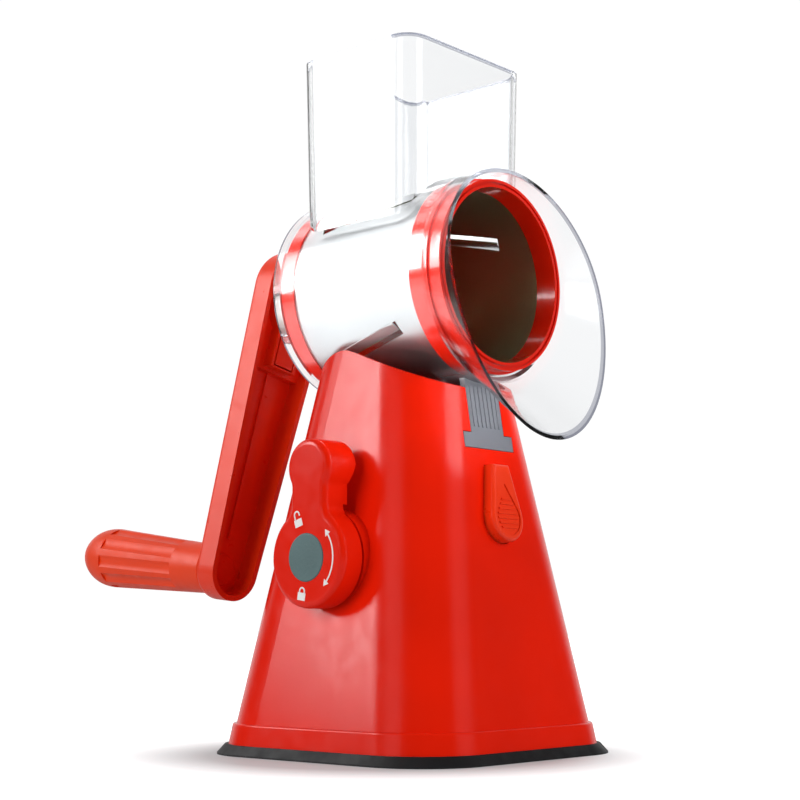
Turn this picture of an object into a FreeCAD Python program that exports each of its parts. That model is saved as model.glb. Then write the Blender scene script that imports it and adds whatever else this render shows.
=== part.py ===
"""Rotary cheese grater with a suction base, one solid per piece.

Millimetres. Origin: middle of the footprint, on the table. +Z is up, -Y is the
outlet side, +Y is the crank side, -X is the side of the suction lever.
"""
import FreeCAD, Part
import math
import os
from FreeCAD import Placement, Rotation, Vector

os.makedirs("parts", exist_ok=True)

AXIS_X = Vector(1, 0, 0)
AXIS_Y = Vector(0, 1, 0)
AXIS_Z = Vector(0, 0, 1)
THROUGH = 90.0             # reach of a cut that goes right through
OVERLAP = 1.0              # depth to which joined solids or cuts overlap

# ---- tower -----------------------------------------------------------
TOWER_REF_Z = 17.0         # height at which the next three sizes hold
TOWER_HALF = 57.95         # half width, both ways
TOWER_CORNER = 28.0        # corner radius
TAPER_X = 0.175            # loss of half width per mm of height
TAPER_Y = 0.165
TAPER_CORNER = 0.020
TOWER_TOP_Z = 168.0
WALL = 2.5
SKIRT_BOTTOM_Z = 4.0
SKIRT_TOP_Z = 12.2
SKIRT_BOTTOM_HALF = 61.1
SKIRT_TOP_HALF = 59.9
SKIRT_CORNER = 28.5
SKIRT_EDGE_R = 0.9
APEX_Y = 8.5               # the sides' top edge slopes down from here to the front
APEX_Z = 162.6
FRONT_SLOPE = 0.395
APEX_R = 26.0
SLEEVE_R = 9.0             # bearing for the lever's shaft
SLEEVE_X = (-46.0, -13.0)
BOSS_RIB = (12.0, 1.5)     # length and half thickness of the ribs on the screw bosses

# ---- drum axis and clear housing -----------------------------------------------------------
DRUM_Z = 190.5             # height of the drum's and the crank's axis
HOUSING_R = 43.0
HOUSING_WALL = 2.2
HOUSING_FRONT_Y = -42.0
HOUSING_REAR_Y = 40.0
CRADLE_GAP = 0.3
CHUTE_TOP_Z = 287.0
CHUTE_TOP_HALF = (38.2, 32.1)
CHUTE_TAPER = 0.0203
CHUTE_CORNER = 10.0
CHUTE_WALL = 2.4
RIM_HALF_WIDTH = 49.6      # outlet hood's egg-shaped rim
RIM_MID_Z = 185.3
RIM_UP = 47.2
RIM_DOWN = 63.3
RIM_MID_Y = -61.6
RIM_SLOPE = 0.1715
RIM_WALL = 1.7
BEARING_R = 11.0
BEARING_END_Y = 58.0
RUNNING_GAP = 0.06         # radial clearance of every shaft in its hole
LUG_HALF = 8.0             # rear lug, which hooks through the tower's rear wall
LUG_Y = (27.0, 37.2)
LUG_Z = (139.0, 142.0)
LUG_POST_Y = 30.0
LUG_ROOT_Z = 152.0
LUG_GAP = 0.4
LUG_RISE = 0.9             # room above the lug, which rises as the housing slides off

# ---- drum -----------------------------------------------------------
DRUM_R = 39.9              # outside of the two plastic rings
SHELL_R = 39.1
SHELL_T = 0.5
SHELL_FRONT_Y = -38.5
SHELL_REAR_Y = 35.5
RING_FRONT_Y = -48.0
RING_STEP_Y = -42.6
RING_STEP_R = 38.9
RING_SLEEVE_Y = -33.0      # rear edge of the front ring's sleeve over the shell
REAR_SLEEVE_Y = 30.8       # front edge of the rear ring's sleeve
RING_INNER_R = 35.6
RING_GROOVE_R = (36.8, 37.8)
RING_GROOVE_DEPTH = 1.5
SPIGOT_DEPTH = 3.5         # reach of the rear ring into the shell
DRUM_REAR_Y = 37.4
DISH_R = 36.2              # rear ring, thinned inside to a plate
DISH_FLOOR_Y = 34.9
HUB_R = 9.5
HUB_FRONT_Y = 17.0
SLOT_COUNT = 4
SLOT_LENGTH = 44.0
SLOT_WIDTH = 6.0
SLOT_SLANT = 16.0          # degrees off the drum's axis
SLOT_FIRST = -134.0        # degrees from the top, clockwise seen from the outlet
LIP_WIDTH = 4.4
LIP_RISE = 11.0            # degrees that each cutting edge is bent outwards
LIP_SHORTER = 0.6          # at each end, than the slot
LIP_SHIFT = 3.6            # across the slot, from its middle
LIP_SUNK = 0.35
LIP_REACH = 1.2            # beyond the shell

# ---- drive shaft -----------------------------------------------------------
JOURNAL_R = 7.0
JOURNAL_Y = 37.7           # its front end, clear of the drum
TIP_SIDE = 9.0             # square that drives the drum
TIP_FRONT_Y = 20.0
SOCKET_GAP = 0.15
COLLAR_R = 10.5
COLLAR_Y = (58.3, 61.8)
ROOT_SIDE = 12.0           # square that the crank drives
ROOT_REAR_Y = 78.0
THREAD_R = 1.95            # screws in the lever and the crank
CLEAR_R = 2.2

# ---- crank -----------------------------------------------------------
CRANK_TILT = 11.75         # rest position, degrees about the drum's axis
CRANK_LEAN = 5.7           # the arm leans away from the tower towards its end
ARM_LENGTH = 118.9         # drum axis to grip axis
ARM_FRONT_Y = 69.5
ARM_REAR_Y = 81.8
ARM_WALL = 2.4
ARM_TOP = 9.4              # centre of the rounded top end, above the drum axis
ARM_TOP_R = 18.8
ARM_END_R = 12.9
ARM_EDGE_R = 3.0
HUB_BLOCK_HALF = 7.3
HUB_BLOCK_BOTTOM = -27.0
HUB_PAD_BOTTOM = -28.5
HUB_PAD_Y = 75.0
FINGER_HALF = 5.1
FINGER_BOTTOM = -25.6
FINGER_ROOT = -13.0
FINGER_GAP = 0.8
FINGER_DEPTH = 4.0
HUB_BOSS_R = 11.5
HUB_BOSS_Y = 68.5
HUB_BLOCK_TOP = 12.0
HUB_PAD_TOP = 40.0
ARM_RIB = (0.8, 1.2)       # half width and height of the rib along the channel
ARM_RIB_END = 14.0         # distance from the grip's axle
CRANK_HEAD = (4.2, 79.9)   # screw head's radius, and the seat under it
CRANK_HEAD_HOLE_R = 4.6
CRANK_SOCKET = (1.5, 80.8)
CRANK_SCREW_TIP_Y = 63.0

# ---- grip -----------------------------------------------------------
GRIP_START_Y = 82.2
GRIP_TIP_Y = 171.4
GRIP_DOME_Y = 152.0
GRIP_START_R = 10.7
GRIP_END_R = 13.6
GRIP_EDGE = 1.0
FLUTE_COUNT = 10
FLUTE_Y = (101.0, 150.0)
FLUTE_R = 6.0
FLUTE_DEPTH = 0.9
FLUTE_OFFSET = 0.5         # share of a pitch by which the flutes are turned
AXLE_R = 4.0
AXLE_HEAD_R = 7.0
AXLE_HEAD_T = 0.9
AXLE_HEAD_EDGE = 0.4
AXLE_END_Y = 148.0
SNAP_Y = (138.0, 141.0)
SNAP_R = 3.2
SNAP_PLAY = 0.6            # endwise, between the ridge and the groove's sides
SNAP_GAP = 0.1

# ---- suction lever and its works -----------------------------------------------------------
LEVER_Z = 76.7
LEVER_FRONT_X = -62.3
LEVER_BACK_X = -51.6
LEVER_HUB_R = 19.5
LEVER_ARM_X = -49.4        # back of the arm, clear of the tower when it is turned
LEVER_HEAD_X = -46.6       # back of the thicker head
LEVER_REACH = 46.2
LEVER_NECK_HALF = 9.3
LEVER_HEAD_R = 11.3
LEVER_EDGE_R = 2.6
LEVER_NECK_BLEND = 5.0
LEVER_RAMP = (28.0, 39.5)  # the head's back slopes between these heights over the shaft
LEVER_BOSS_X = (-50.5, -40.0)
CAP_R = 9.35
CAP_X = (-62.6, -60.4)
CAP_EDGE = 0.5
LEVER_SEAT_X = -57.6       # under the lever screw's head
LEVER_HEAD_HOLE_R = 4.3
LEVER_SCREW_HEAD = (4.0, -60.0)
LEVER_SCREW_TIP_X = -45.0
LEVER_SOCKET = (1.4, -58.6)
LEVER_SHAFT_R = 5.0
LEVER_SHAFT_X = (-51.3, -12.0)
LEVER_SQUARE = 7.0
LEVER_SQUARE_X = -56.0
LEVER_SQUARE_GAP = 0.1
WEB_R = 7.5                # disc that carries the lifting pin
WEB_X = (-12.7, -8.2)
ECCENTRIC = 2.5            # offset of the lifting pin
ECCENTRIC_START = -45.0    # degrees, pin's place at rest
PIN_R = 2.5
PIN_X = (-8.5, 5.5)
ROD_R = 6.0
ROD_BOTTOM_Z = 4.0
ROD_HEAD = (5.0, 9.5, 6.5) # half sizes
ROD_SLOT = (6.0, 0.15)     # half length, and room over and under the pin
CROSS_PIN = (1.5, 9.5)     # radius and half length
CROSS_PIN_Z = 6.7
DISC_R = 30.0
DISC_Z = (2.3, 4.4)
DISC_BOSS_Z = 9.0
DISC_RIBS = 4
DISC_RIB_X = 26.0
DISC_RIB_Z = (4.2, 6.4)

# ---- foot and base plate -----------------------------------------------------------
PAD_HALF = 64.45
PAD_TOP_HALF = 62.0
PAD_CORNER = 28.8
PAD_TOP_CORNER = 28.0
PAD_EDGE = 0.6
PAD_WEB = 2.0              # thickness of the pad under the disc
PAD_RECESS_R = 36.5
BEAD_R = (40.0, 42.5)
BEAD_Z = 6.0
BEAD_GAP = 0.1
PLATE_TOP_Z = 7.5
PLATE_GAP = 0.5
DOME_Z = (13.2, 15.7)
DOME_R = 38.5
GUIDE_R = 10.0
GUIDE_TOP_Z = 30.0
SCREW_AT = 45.0            # base screws, from the middle, both ways
SCREW_BOSS_R = 5.2
SCREW_BOSS_Z = (8.5, 26.0)
SCREW_PAD_R = 5.5
SCREW_PILOT_TOP = 23.0
SCREW_R = 1.9
SCREW_TOP_Z = 22.0
SCREW_HEAD = (3.9, 4.3, 6.6)   # radius, bottom and top
SCREW_SOCKET = (1.3, 5.6)
SCREW_HOLE_R = 2.2
SCREW_HEAD_HOLE_R = 4.4

# ---- release button and T-shaped tongue --------------------------------------------------------
BUTTON_Z = 92.3
BUTTON_R = 9.6
BUTTON_TOP = 21.5
BUTTON_TOP_HALF = 5.0
BUTTON_PROUD = 4.8
BUTTON_GAP = 0.35
BUTTON_BACK = -4.0
BUTTON_EDGE_R = 1.6
FLANGE_OUT = 2.0
FLANGE = (-4.6, -2.9)
LATCH_HALF = 4.0           # arm that backs the tongue until the button is pressed
LATCH_S = (15.0, 34.0)
LATCH_DEPTH = (-6.4, -3.4)
LATCH_PAD_S = 28.9
LATCH_PAD = -2.8
SPRING_SEAT_R = 2.4        # studs that hold the spring's ends
SPRING_SEAT = -7.0
PAD_MARK_R = 7.2
PAD_MARK_TOP = 13.5
PAD_MARK_DEPTH = 0.5
PAD_MARK_INSET = 0.9       # from the dish's outline to its ribs' ends
PAD_RIBS = 7
PAD_RIB_START = -4.5
PAD_RIB_PITCH = 1.9
PAD_RIB_WIDTH = 0.8
PAD_RIB_LOW = 0.05         # below the button's face
TONGUE_Z = 123.5
TONGUE_BAR_HALF = 15.25
TONGUE_STEM_HALF = 10.25
TONGUE_BAR = (-3.0, 3.1)
TONGUE_STEM_TOP = 28.0
TONGUE_GAP = 0.3
TONGUE_DEPTH = (-2.45, -0.05)
POST_X = 15.6
POST_S = 5.0
POST_R = 3.2
POST_END = -12.0
RETAINER_T = 2.0
RETAINER_EDGE = (4.5, 6.0) # plate's overhang round the posts, both ways
RETAINER_STUD = 1.2
RETAINER_HOLE_R = 1.7
RETAINER_SCREW_R = 1.4
RETAINER_SCREW_LENGTH = 8.4
RETAINER_HEAD = (2.8, 1.8) # radius and height
RETAINER_SLOT = (0.4, 0.8) # half width and depth
SPRING_R = 3.4
SPRING_WIRE = 0.4
SPRING_TURNS = 5
SPRING_LENGTH = 6.5
SPRING_END_GAP = 0.05


# ---- helpers -----------------------------------------------------------
def save(name, shape):
    """Write one sub-part and print what it is."""
    clean = shape.removeSplitter()
    if not clean.isValid():
        raise ValueError(name + " is not a valid solid")
    clean.exportStep("parts/" + name + ".step")
    print(f"{name:16s} solids {len(clean.Solids)}  volume {clean.Volume:10.1f} mm3")
    return clean


def box(x, y, z):
    """Box from three (low, high) pairs."""
    return Part.makeBox(x[1] - x[0], y[1] - y[0], z[1] - z[0], Vector(x[0], y[0], z[0]))


def round_bar(radius, start, end, axis, across=(0.0, 0.0)):
    """Cylinder along X, Y or Z; across is its place on the other two axes, in order."""
    a, b = across
    base = {"X": Vector(start, a, b), "Y": Vector(a, start, b), "Z": Vector(a, b, start)}[axis]
    direction = {"X": AXIS_X, "Y": AXIS_Y, "Z": AXIS_Z}[axis]
    return Part.makeCylinder(radius, end - start, base, direction)


def tube(outer, inner, start, end, axis, across=(0.0, 0.0)):
    """Round bar with a hole right through."""
    hole = round_bar(inner, start - OVERLAP, end + OVERLAP, axis, across)
    return round_bar(outer, start, end, axis, across).cut(hole)


def on_drum_axis(radius, start, end):
    """Cylinder along the drum's axis."""
    return round_bar(radius, start, end, "Y", (0.0, DRUM_Z))


def square_bar(side, start, end):
    """Square bar along the drum's axis, turned with the crank."""
    bar = box((-side / 2, side / 2), (start, end), (DRUM_Z - side / 2, DRUM_Z + side / 2))
    bar.rotate(Vector(0, 0, DRUM_Z), AXIS_Y, CRANK_TILT)
    return bar


def rounded_outline(half_x, half_y, corner, z):
    """Rounded rectangle, centred on the Z axis."""
    k = corner * math.sqrt(0.5)
    cx = half_x - corner
    cy = half_y - corner
    edges = []
    for sx, sy in ((1, 1), (-1, 1), (-1, -1), (1, -1)):
        side = Vector(sx * half_x, sy * cy, z)
        middle = Vector(sx * (cx + k), sy * (cy + k), z)
        end = Vector(sx * cx, sy * half_y, z)
        if sx * sy < 0:
            side, end = end, side
        edges.append(Part.Arc(side, middle, end).toShape())
    outline = []
    for i, arc in enumerate(edges):
        outline.append(arc)
        following = edges[(i + 1) % 4]
        outline.append(Part.makeLine(arc.lastVertex().Point, following.firstVertex().Point))
    return Part.Wire(outline)


def tapered(bottom, top):
    """Solid between two rounded rectangles, each (half_x, half_y, corner, z)."""
    return Part.makeLoft([rounded_outline(*bottom), rounded_outline(*top)], True, True)


def tower_section(z, inset=0.0):
    """Rounded rectangle of the tower at height z, moved inwards by inset."""
    rise = z - TOWER_REF_Z
    return (TOWER_HALF - TAPER_X * rise - inset, TOWER_HALF - TAPER_Y * rise - inset,
            TOWER_CORNER - TAPER_CORNER * rise - inset, z)


def front_wall(z):
    """Placement on the tower's front wall at height z: local Y runs up, local Z outwards."""
    lean = math.degrees(math.atan(TAPER_Y))
    at = Vector(0, -tower_section(z)[1], z)
    return Placement(at, Rotation(AXIS_X, 90 - lean))


def prism(wire, low, high):
    """Solid of a flat local XY outline between two local heights."""
    solid = Part.Face(wire).extrude(Vector(0, 0, high - low))
    solid.translate(Vector(0, 0, low))
    return solid


def placed(shape, placement):
    """Copy of a shape moved by a placement."""
    copy = shape.copy()
    copy.Placement = placement.multiply(copy.Placement)
    return copy


def crank_frame(shape):
    """Move a shape from the crank's own frame, origin on the drum axis, to its rest place.

    The arm leans about its own middle on that axis, so that its hub stays on the shaft.
    """
    hub = Vector(0, (ARM_FRONT_Y + ARM_REAR_Y) / 2, 0)
    lean = Placement(Vector(0, 0, 0), Rotation(AXIS_X, CRANK_LEAN), hub)
    tilt = Placement(Vector(0, 0, DRUM_Z), Rotation(AXIS_Y, CRANK_TILT))
    return placed(shape, tilt.multiply(lean))


# ---- tower and base -----------------------------------------------------------
def button_outline():
    """Keyhole outline of the release button, in the front wall's frame."""
    reach = math.hypot(BUTTON_TOP_HALF, BUTTON_TOP)
    touch = math.atan2(BUTTON_TOP_HALF, BUTTON_TOP) + math.acos(BUTTON_R / reach)
    right = Vector(BUTTON_R * math.sin(touch), BUTTON_R * math.cos(touch), 0)
    left = Vector(-right.x, right.y, 0)
    top_left = Vector(-BUTTON_TOP_HALF, BUTTON_TOP, 0)
    top_right = Vector(BUTTON_TOP_HALF, BUTTON_TOP, 0)
    return Part.Wire([
        Part.Arc(right, Vector(0, -BUTTON_R, 0), left).toShape(),
        Part.makeLine(left, top_left),
        Part.makeLine(top_left, top_right),
        Part.makeLine(top_right, right)])


def tongue_prism(low, high, gap=0.0):
    """T-shaped prism in the front wall's frame, gap wider all round."""
    bar = box((-TONGUE_BAR_HALF - gap, TONGUE_BAR_HALF + gap),
              (TONGUE_BAR[0] - gap, TONGUE_BAR[1] + gap), (low, high))
    stem = box((-TONGUE_STEM_HALF - gap, TONGUE_STEM_HALF + gap),
               (TONGUE_BAR[0] - gap, TONGUE_STEM_TOP), (low, high))
    return bar.fuse(stem)


def screw_places():
    """The four base screws' places."""
    return [(sx * SCREW_AT, sy * SCREW_AT) for sx in (-1, 1) for sy in (-1, 1)]


def rear_lug():
    """Tab at the housing's rear that hooks through the tower's rear wall."""
    return box((-LUG_HALF, LUG_HALF), LUG_Y, LUG_Z)


def lug_slot():
    """Hole for the rear lug."""
    half = LUG_HALF + LUG_GAP
    return box((-half, half), (LUG_Y[0], THROUGH), (LUG_Z[0] - LUG_GAP, LUG_Z[1] + LUG_RISE))


def front_slope():
    """Everything above the tower's top edge, level at the rear and sloping to the front."""
    front_y = APEX_Y - THROUGH
    top_z = APEX_Z + THROUGH
    corners = [(THROUGH, APEX_Z), (APEX_Y, APEX_Z), (front_y, APEX_Z - THROUGH * FRONT_SLOPE),
               (front_y, top_z), (THROUGH, top_z), (THROUGH, APEX_Z)]
    outline = Part.makePolygon([Vector(-THROUGH, y, z) for y, z in corners])
    block = Part.Face(outline).extrude(Vector(2 * THROUGH, 0, 0))
    apex = [e for e in block.Edges if e.BoundBox.YLength < 0.1 and abs(e.BoundBox.YMin - APEX_Y) < 0.1]
    return block.makeFillet(APEX_R, apex)


def post_cylinder(sx, radius, start, end):
    """Cylinder on the axis of one of the two posts behind the button."""
    at = Vector(sx * POST_X, POST_S, start)
    return placed(Part.makeCylinder(radius, end - start, at), front_wall(BUTTON_Z))


def inner_bosses():
    """Bearing sleeve, screw bosses with their ribs, and the button's posts."""
    low, high = SCREW_BOSS_Z
    bosses = [round_bar(SLEEVE_R, *SLEEVE_X, "X", (0.0, LEVER_Z))]
    for x, y in screw_places():
        bosses.append(round_bar(SCREW_BOSS_R, low, high, "Z", (x, y)))
        rib = box((0, BOSS_RIB[0]), (-BOSS_RIB[1], BOSS_RIB[1]), (low, high))
        rib.rotate(Vector(0, 0, 0), AXIS_Z, math.degrees(math.atan2(y, x)))
        rib.translate(Vector(x, y, 0))
        bosses.append(rib)
    for sx in (-1, 1):
        bosses.append(post_cylinder(sx, POST_R, POST_END, -OVERLAP))
    return bosses


def make_body_shell():
    tower = tapered(tower_section(SKIRT_TOP_Z), tower_section(TOWER_TOP_Z))
    skirt = tapered((SKIRT_BOTTOM_HALF, SKIRT_BOTTOM_HALF, SKIRT_CORNER, SKIRT_BOTTOM_Z),
                    (SKIRT_TOP_HALF, SKIRT_TOP_HALF, SKIRT_CORNER, SKIRT_TOP_Z))
    top_edges = [e for e in skirt.Edges if e.BoundBox.ZMin > SKIRT_TOP_Z - 0.01]
    skirt = skirt.makeFillet(SKIRT_EDGE_R, top_edges)
    boss = round_bar(LEVER_HUB_R, *LEVER_BOSS_X, "X", (0.0, LEVER_Z))
    cavity = tapered(tower_section(SKIRT_BOTTOM_Z - OVERLAP, WALL),
                     tower_section(TOWER_TOP_Z + OVERLAP, WALL))
    shell = tower.fuse([skirt, boss]).cut(cavity)
    limits = tapered(tower_section(SKIRT_BOTTOM_Z, WALL / 2), tower_section(TOWER_TOP_Z, WALL / 2))
    shell = shell.fuse([piece.common(limits) for piece in inner_bosses()])

    opening = prism(button_outline().makeOffset2D(BUTTON_GAP), POST_END, -POST_END)
    holes = [
        on_drum_axis(HOUSING_R + CRADLE_GAP, -THROUGH, THROUGH),
        front_slope(),
        placed(tongue_prism(POST_END, -POST_END, TONGUE_GAP), front_wall(TONGUE_Z)),
        placed(opening, front_wall(BUTTON_Z)),
        lug_slot(),
        round_bar(LEVER_SHAFT_R + RUNNING_GAP, -THROUGH, 0, "X", (0.0, LEVER_Z))]
    for at in screw_places():
        holes.append(round_bar(SCREW_R, 0, SCREW_PILOT_TOP, "Z", at))
    for sx in (-1, 1):
        pilot_end = POST_END + RETAINER_SCREW_LENGTH - OVERLAP
        holes.append(post_cylinder(sx, RETAINER_SCREW_R, POST_END - OVERLAP, pilot_end))
    return shell.cut(holes)


def make_base_plate():
    inside = tower_section(SKIRT_BOTTOM_Z, WALL + PLATE_GAP)
    plate = tapered(inside, tower_section(PLATE_TOP_Z, WALL + PLATE_GAP))
    plate = plate.fuse([round_bar(DOME_R, SKIRT_BOTTOM_Z, DOME_Z[1], "Z"),
                        round_bar(GUIDE_R, DOME_Z[0], GUIDE_TOP_Z, "Z")])
    pads = [round_bar(SCREW_PAD_R, SKIRT_BOTTOM_Z, SCREW_BOSS_Z[0], "Z", at) for at in screw_places()]
    plate = plate.fuse(pads)
    groove = tube(BEAD_R[1] + BEAD_GAP, BEAD_R[0] - BEAD_GAP, SKIRT_BOTTOM_Z - OVERLAP,
                  BEAD_Z + BEAD_GAP, "Z")
    holes = [round_bar(PAD_RECESS_R, SKIRT_BOTTOM_Z - OVERLAP, DOME_Z[0], "Z"),
             round_bar(ROD_R + RUNNING_GAP, 0, GUIDE_TOP_Z + OVERLAP, "Z"), groove]
    for at in screw_places():
        holes.append(round_bar(SCREW_HOLE_R, 0, THROUGH, "Z", at))
        holes.append(round_bar(SCREW_HEAD_HOLE_R, 0, SCREW_HEAD[2], "Z", at))
    return plate.cut(holes)


def make_suction_pad():
    edge = tapered((PAD_HALF, PAD_HALF, PAD_CORNER, 0), (PAD_HALF, PAD_HALF, PAD_CORNER, PAD_EDGE))
    bevel = tapered((PAD_HALF, PAD_HALF, PAD_CORNER, PAD_EDGE),
                    (PAD_TOP_HALF, PAD_TOP_HALF, PAD_TOP_CORNER, SKIRT_BOTTOM_Z))
    bead = tube(BEAD_R[1], BEAD_R[0], SKIRT_BOTTOM_Z - OVERLAP, BEAD_Z, "Z")
    return edge.fuse([bevel, bead]).cut(round_bar(PAD_RECESS_R, PAD_WEB, THROUGH, "Z"))


def make_base_screws():
    radius, bottom, top = SCREW_HEAD
    screws = []
    for at in screw_places():
        head = round_bar(radius, bottom, top, "Z", at)
        head = head.cut(round_bar(SCREW_SOCKET[0], 0, SCREW_SOCKET[1], "Z", at))
        screws.append(head.fuse(round_bar(SCREW_R, SCREW_SOCKET[1], SCREW_TOP_Z, "Z", at)))
    return Part.makeCompound(screws)


# ---- suction works -----------------------------------------------------------
def cross_pin():
    """Pin through the rod and the disc's boss."""
    radius, half = CROSS_PIN
    return round_bar(radius, -half, half, "X", (0.0, CROSS_PIN_Z))


def make_pull_disc():
    disc = round_bar(DISC_R, DISC_Z[0], DISC_Z[1], "Z")
    ribs = []
    for i in range(DISC_RIBS):
        rib = box((-DISC_RIB_X, DISC_RIB_X), (-1, 1), DISC_RIB_Z)
        rib.rotate(Vector(0, 0, 0), AXIS_Z, i * 180.0 / DISC_RIBS)
        ribs.append(rib)
    disc = disc.fuse(ribs + [round_bar(GUIDE_R, DISC_Z[0], DISC_BOSS_Z, "Z")])
    return disc.cut([round_bar(ROD_R, ROD_BOTTOM_Z, THROUGH, "Z"), cross_pin()])


def eccentric_place():
    """The lifting pin's centre at rest, as (y, z)."""
    angle = math.radians(ECCENTRIC_START)
    return ECCENTRIC * math.cos(angle), LEVER_Z + ECCENTRIC * math.sin(angle)


def make_suction_rod():
    pin_z = eccentric_place()[1]
    half_x, half_y, half_z = ROD_HEAD
    rod = round_bar(ROD_R, ROD_BOTTOM_Z, pin_z - half_z + OVERLAP, "Z")
    head = box((-half_x, half_x), (-half_y, half_y), (pin_z - half_z, pin_z + half_z))
    window = PIN_R + ROD_SLOT[1]
    slot = box((-half_x - 1, half_x + 1), (-ROD_SLOT[0], ROD_SLOT[0]), (pin_z - window, pin_z + window))
    return rod.fuse(head).cut([slot, cross_pin()])


def make_rod_pin():
    return cross_pin()


def make_lever_shaft():
    journal = round_bar(LEVER_SHAFT_R, *LEVER_SHAFT_X, "X", (0.0, LEVER_Z))
    half = LEVER_SQUARE / 2
    square = box((LEVER_SQUARE_X, LEVER_SHAFT_X[0] + OVERLAP), (-half, half),
                 (LEVER_Z - half, LEVER_Z + half))
    web = round_bar(WEB_R, *WEB_X, "X", (0.0, LEVER_Z))
    pin = round_bar(PIN_R, *PIN_X, "X", eccentric_place())
    shaft = journal.fuse([square, web, pin])
    return shaft.cut(round_bar(THREAD_R, -THROUGH, LEVER_SCREW_TIP_X + OVERLAP, "X", (0.0, LEVER_Z)))


def neck_corners(lever):
    """Edges where the neck meets the hub."""
    found = []
    for edge in lever.Edges:
        spans = edge.BoundBox
        along = spans.XLength > 5 and spans.YLength < 0.1 and spans.ZLength < 0.1
        if along and abs(abs(spans.YMin) - LEVER_NECK_HALF) < 0.2:
            found.append(edge)
    return found


def lever_head(head_z):
    """The thicker back of the lever's head, which slopes into the neck."""
    deep = round_bar(LEVER_HEAD_R, LEVER_BACK_X - OVERLAP, LEVER_HEAD_X, "X", (0.0, head_z))
    low = LEVER_Z + LEVER_RAMP[0]
    high = LEVER_Z + LEVER_RAMP[1]
    past = LEVER_HEAD_X + OVERLAP
    corners = [(LEVER_ARM_X, low), (past, high), (past, LEVER_Z), (LEVER_ARM_X, LEVER_Z),
               (LEVER_ARM_X, low)]
    outline = Part.makePolygon([Vector(x, -LEVER_HUB_R, z) for x, z in corners])
    return deep.cut(Part.Face(outline).extrude(Vector(0, 2 * LEVER_HUB_R, 0)))


def make_suction_lever():
    head_z = LEVER_Z + LEVER_REACH - LEVER_HEAD_R
    across = (-LEVER_NECK_HALF, LEVER_NECK_HALF)
    hub = round_bar(LEVER_HUB_R, LEVER_FRONT_X, LEVER_BACK_X, "X", (0.0, LEVER_Z))
    neck = box((LEVER_FRONT_X, LEVER_BACK_X), across, (LEVER_Z, head_z))
    head = round_bar(LEVER_HEAD_R, LEVER_FRONT_X, LEVER_BACK_X, "X", (0.0, head_z))
    lever = hub.fuse([neck, head]).removeSplitter()
    lever = lever.makeFillet(LEVER_NECK_BLEND, neck_corners(lever))
    front = [e for e in lever.Edges if e.BoundBox.XMax < LEVER_FRONT_X + 0.01]
    lever = lever.makeFillet(LEVER_EDGE_R, front)
    rear = box((LEVER_BACK_X - OVERLAP, LEVER_ARM_X), across, (LEVER_Z + LEVER_HUB_R + 1, head_z))
    lever = lever.fuse([rear, lever_head(head_z)])
    half = LEVER_SQUARE / 2 + LEVER_SQUARE_GAP
    at = (0.0, LEVER_Z)
    return lever.cut([
        round_bar(CAP_R, -THROUGH, CAP_X[1], "X", at),
        round_bar(LEVER_HEAD_HOLE_R, -THROUGH, LEVER_SEAT_X, "X", at),
        round_bar(CLEAR_R, -THROUGH, 0, "X", at),
        box((LEVER_SQUARE_X - 0.2, 0), (-half, half), (LEVER_Z - half, LEVER_Z + half))])


def make_lever_cap():
    low, high = CAP_X
    cap = round_bar(CAP_R, low, high, "X", (0.0, LEVER_Z))
    rim = [e for e in cap.Edges if e.BoundBox.XMax < low + 0.01]
    return cap.makeFillet(CAP_EDGE, rim)


def make_lever_screw():
    at = (0.0, LEVER_Z)
    radius, front = LEVER_SCREW_HEAD
    head = round_bar(radius, front, LEVER_SEAT_X, "X", at)
    socket = round_bar(LEVER_SOCKET[0], -THROUGH, LEVER_SOCKET[1], "X", at)
    return head.cut(socket).fuse(round_bar(THREAD_R, LEVER_SEAT_X - 0.1, LEVER_SCREW_TIP_X, "X", at))


# ---- release button -----------------------------------------------------------
def thumb_mark():
    """Teardrop outline of the ribbed dish in the button."""
    touch = math.acos(PAD_MARK_R / PAD_MARK_TOP)
    right = Vector(PAD_MARK_R * math.sin(touch), PAD_MARK_R * math.cos(touch), 0)
    left = Vector(-right.x, right.y, 0)
    tip = Vector(0, PAD_MARK_TOP, 0)
    return Part.Wire([Part.Arc(right, Vector(0, -PAD_MARK_R, 0), left).toShape(),
                      Part.makeLine(left, tip), Part.makeLine(tip, right)])


def make_release_button():
    body = prism(button_outline(), BUTTON_BACK, BUTTON_PROUD)
    front = [e for e in body.Edges if e.BoundBox.ZMin > BUTTON_PROUD - 0.01]
    body = body.makeFillet(BUTTON_EDGE_R, front)
    flange = prism(button_outline().makeOffset2D(FLANGE_OUT), *FLANGE)
    across = (-LATCH_HALF, LATCH_HALF)
    arm = box(across, LATCH_S, LATCH_DEPTH)
    pad = box(across, (LATCH_PAD_S, LATCH_S[1]), (LATCH_DEPTH[0], LATCH_PAD))
    stud = Part.makeCylinder(SPRING_SEAT_R, BUTTON_BACK - SPRING_SEAT, Vector(0, POST_S, SPRING_SEAT))
    dish = prism(thumb_mark(), BUTTON_PROUD - PAD_MARK_DEPTH, BUTTON_PROUD + OVERLAP)
    button = body.fuse([flange, arm, pad, stud]).cut(dish)
    inner = prism(thumb_mark().makeOffset2D(-PAD_MARK_INSET), 0, 2 * BUTTON_PROUD)
    ribs = []
    for i in range(PAD_RIBS):
        s = PAD_RIB_START + PAD_RIB_PITCH * i
        rib = box((-PAD_MARK_R, PAD_MARK_R), (s, s + PAD_RIB_WIDTH),
                  (BUTTON_PROUD - OVERLAP, BUTTON_PROUD - PAD_RIB_LOW))
        ribs.append(rib.common(inner))
    return placed(button.fuse(ribs), front_wall(BUTTON_Z))


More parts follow.
